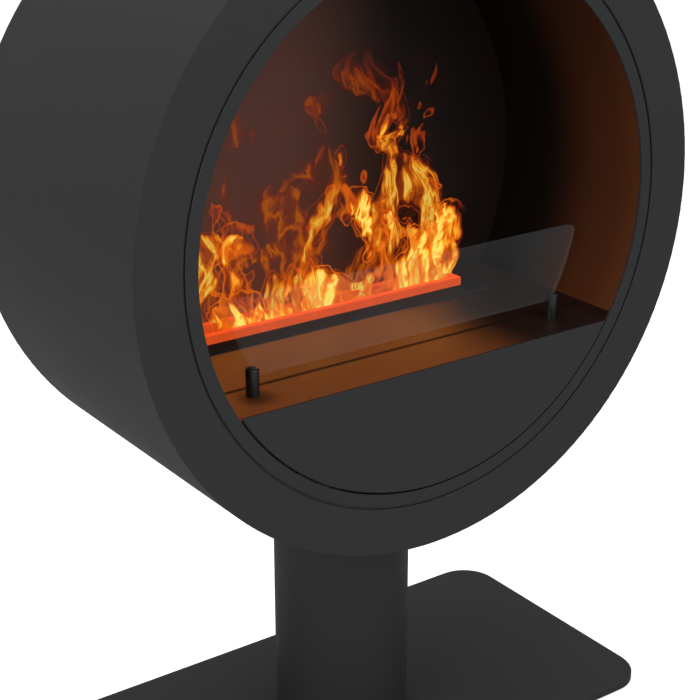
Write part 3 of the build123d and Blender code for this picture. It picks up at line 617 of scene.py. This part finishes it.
main_heights = (
    (0.0, 0.14),
    (0.08, 0.24),
    (0.16, 0.22),
    (0.24, 0.20),
    (0.32, 0.10),
    (0.44, 0.12),
    (0.53, 0.26),
    (0.60, 0.34),
    (0.68, 0.23),
    (0.77, 0.25),
    (0.86, 0.27),
    (0.93, 0.20),
    (1.0, 0.09),
)
tall_heights = tuple((spot, min(flame_height, height * 1.35)) for spot, height in main_heights)
smoke_heights = ((0.0, 0.3), (0.14, 0.4), (0.3, 0.34), (0.45, 0.4), (0.7, 0.4), (0.9, 0.34), (1.0, 0.2))
flame_layers = (
    ("mist_smoke", slot_y + 0.022, 0.006, 1.5, 2.6, 41, smoke_heights, 0.60, 22.0, 0.5, 0.4),
    ("mist_flame_back", slot_y + 0.012, 0.008, 2.0, 0.3, 3, tall_heights, 0.52, 30.0, 0.75, 0.8),
    ("mist_flame_middle", slot_y, 0.007, 3.0, 1.9, 11, main_heights, 0.52, 34.0, 1.0, 1.0),
    ("mist_flame_front", slot_y - 0.012, 0.006, 2.5, 4.1, 23, main_heights, 0.48, 40.0, 1.05, 1.0),
)
for name, y, fold, turns, phase, *looks in flame_layers:
    film = flame_film(name, y, fold, turns, phase)
    paint = flame_material(name, *looks)
    film.data.materials.append(paint)
    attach(film, "fireplace")
    film.visible_shadow = False

# Studio: a pale floor and backdrop, soft lamps and a camera at the photograph's viewing angle.
floor_paint, floor_tree = new_material("studio_floor")
rays = shader_node(floor_tree, "ShaderNodeLightPath")
straight = math_node(
    floor_tree, "MAXIMUM", rays.outputs["Is Camera Ray"], rays.outputs["Is Transmission Ray"]
)
pale = shader_node(floor_tree, "ShaderNodeMix", data_type="RGBA")
pale.inputs[6].default_value = (0.55, 0.55, 0.55, 1)
pale.inputs[7].default_value = (0.97, 0.97, 0.97, 1)
floor_tree.links.new(straight, pale.inputs[0])
diffuse = shader_node(floor_tree, "ShaderNodeBsdfDiffuse")
lift = shader_node(floor_tree, "ShaderNodeEmission", {"Color": (1, 1, 1, 1)})
floor_tree.links.new(math_node(floor_tree, "MULTIPLY", straight, 0.55), lift.inputs["Strength"])
both = shader_node(floor_tree, "ShaderNodeAddShader")
floor_output = shader_node(floor_tree, "ShaderNodeOutputMaterial")
floor_tree.links.new(pale.outputs[2], diffuse.inputs["Color"])
link(floor_tree, diffuse, "BSDF", both, 0)
link(floor_tree, lift, "Emission", both, 1)
link(floor_tree, both, "Shader", floor_output, "Surface")
bpy.ops.mesh.primitive_plane_add(size=30, location=(0, 0, 0))
studio_floor = bpy.context.object
studio_floor.name = "studio_floor"
studio_floor.data.materials.append(floor_paint)

world = bpy.data.worlds.new("studio")
scene.world = world
world.use_nodes = True
world_tree = world.node_tree
world_tree.nodes.clear()
sky_rays = shader_node(world_tree, "ShaderNodeLightPath")
seen = math_node(
    world_tree, "MAXIMUM", sky_rays.outputs["Is Camera Ray"], sky_rays.outputs["Is Transmission Ray"]
)
soft_light = shader_node(world_tree, "ShaderNodeBackground", {"Color": (1, 1, 1, 1), "Strength": 0.55})
white_sky = shader_node(world_tree, "ShaderNodeBackground", {"Color": (1, 1, 1, 1), "Strength": 1.0})
sky_mix = shader_node(world_tree, "ShaderNodeMixShader")
world_output = shader_node(world_tree, "ShaderNodeOutputWorld")
world_tree.links.new(seen, sky_mix.inputs[0])
link(world_tree, soft_light, "Background", sky_mix, 1)
link(world_tree, white_sky, "Background", sky_mix, 2)
link(world_tree, sky_mix, "Shader", world_output, "Surface")


def soft_lamp(name, place, target, size, power):
    lamp = bpy.data.lights.new(name, "AREA")
    lamp.shape = "RECTANGLE"
    lamp.size, lamp.size_y = size
    lamp.energy = power
    lamp_object = bpy.data.objects.new(name, lamp)
    lamp_object.location = place
    course = Vector(target) - Vector(place)
    lamp_object.rotation_euler = course.to_track_quat("-Z", "Y").to_euler()
    scene.collection.objects.link(lamp_object)
    return lamp_object


soft_lamp("left_lamp", (-3.2, -1.2, 1.6), (0, 0, 0.7), (2.0, 2.0), 60)
soft_lamp("front_lamp", (0.6, -3.6, 2.2), (0, 0, 0.7), (2.5, 2.0), 55)
soft_lamp("top_lamp", (0.0, 0.4, 3.4), (0, 0, 0.7), (2.5, 2.5), 30)

camera_data = bpy.data.cameras.new("photo_camera")
camera_data.lens = 82.744
camera_data.sensor_width = 36.0
camera = bpy.data.objects.new("photo_camera", camera_data)
camera.location = (-1.11985, -1.58298, 1.28198)
camera.rotation_euler = (math.pi / 2 - 0.3659, 0, -0.6219)
scene.collection.objects.link(camera)
scene.camera = camera
scene.view_settings.view_transform = "Standard"
scene.cycles.transparent_max_bounces = 24

bpy.context.view_layer.update()
